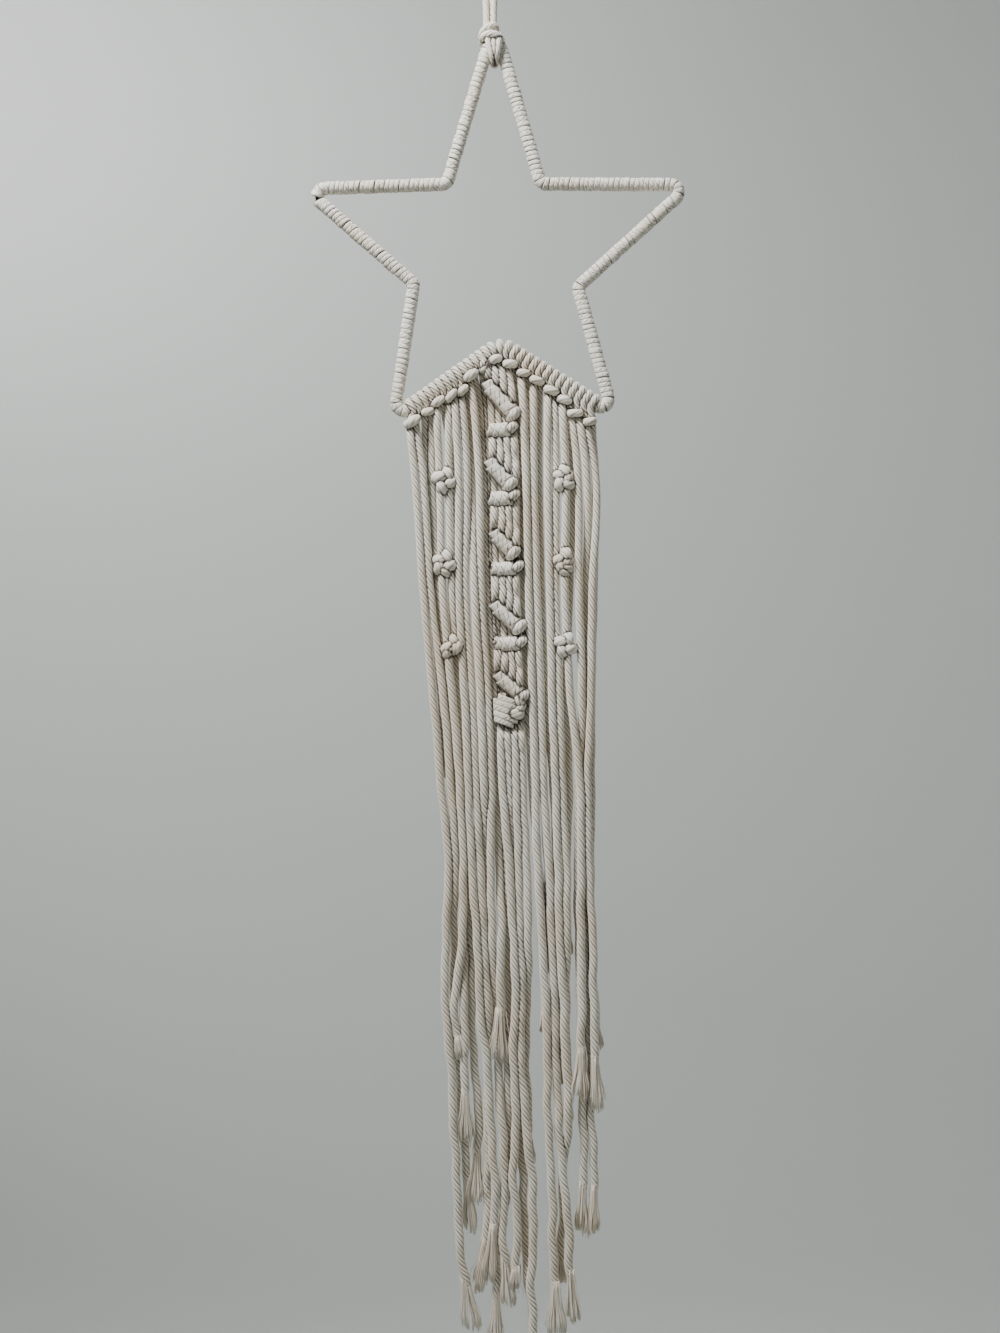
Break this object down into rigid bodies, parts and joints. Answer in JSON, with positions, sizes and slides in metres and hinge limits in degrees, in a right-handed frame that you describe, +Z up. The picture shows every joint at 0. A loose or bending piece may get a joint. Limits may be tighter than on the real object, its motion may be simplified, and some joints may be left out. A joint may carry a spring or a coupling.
{
  "type": "macrame wall hanging on a star-shaped hoop",
  "caption": "Cotton macrame hanging: a cord-wound wire star with a knotted fringe of long strands below it, hung from a cord loop.",
  "frame": {"origin": "where the nail or hook carries the hanging loop, under the top of the loop", "axes": "+Z up, -Y is the front that faces the room, +Y points at the wall, +X to the right seen from the front"},
  "size_m": [0.2002, 0.0173, 0.772],
  "materials": {
    "hoop_wire": "dark coated steel wire",
    "cotton_binding": "natural off-white cotton cord, wound close",
    "cotton_cord": "natural off-white twisted cotton cord",
    "cotton_loop": "natural off-white twisted cotton cord"
  },
  "bodies": {
    "root": {"star_hoop": "hoop_wire", "hoop_binding": "cotton_binding", "macrame": "cotton_cord", "hanging_loop": "cotton_loop"}
  },
  "joints": []
}
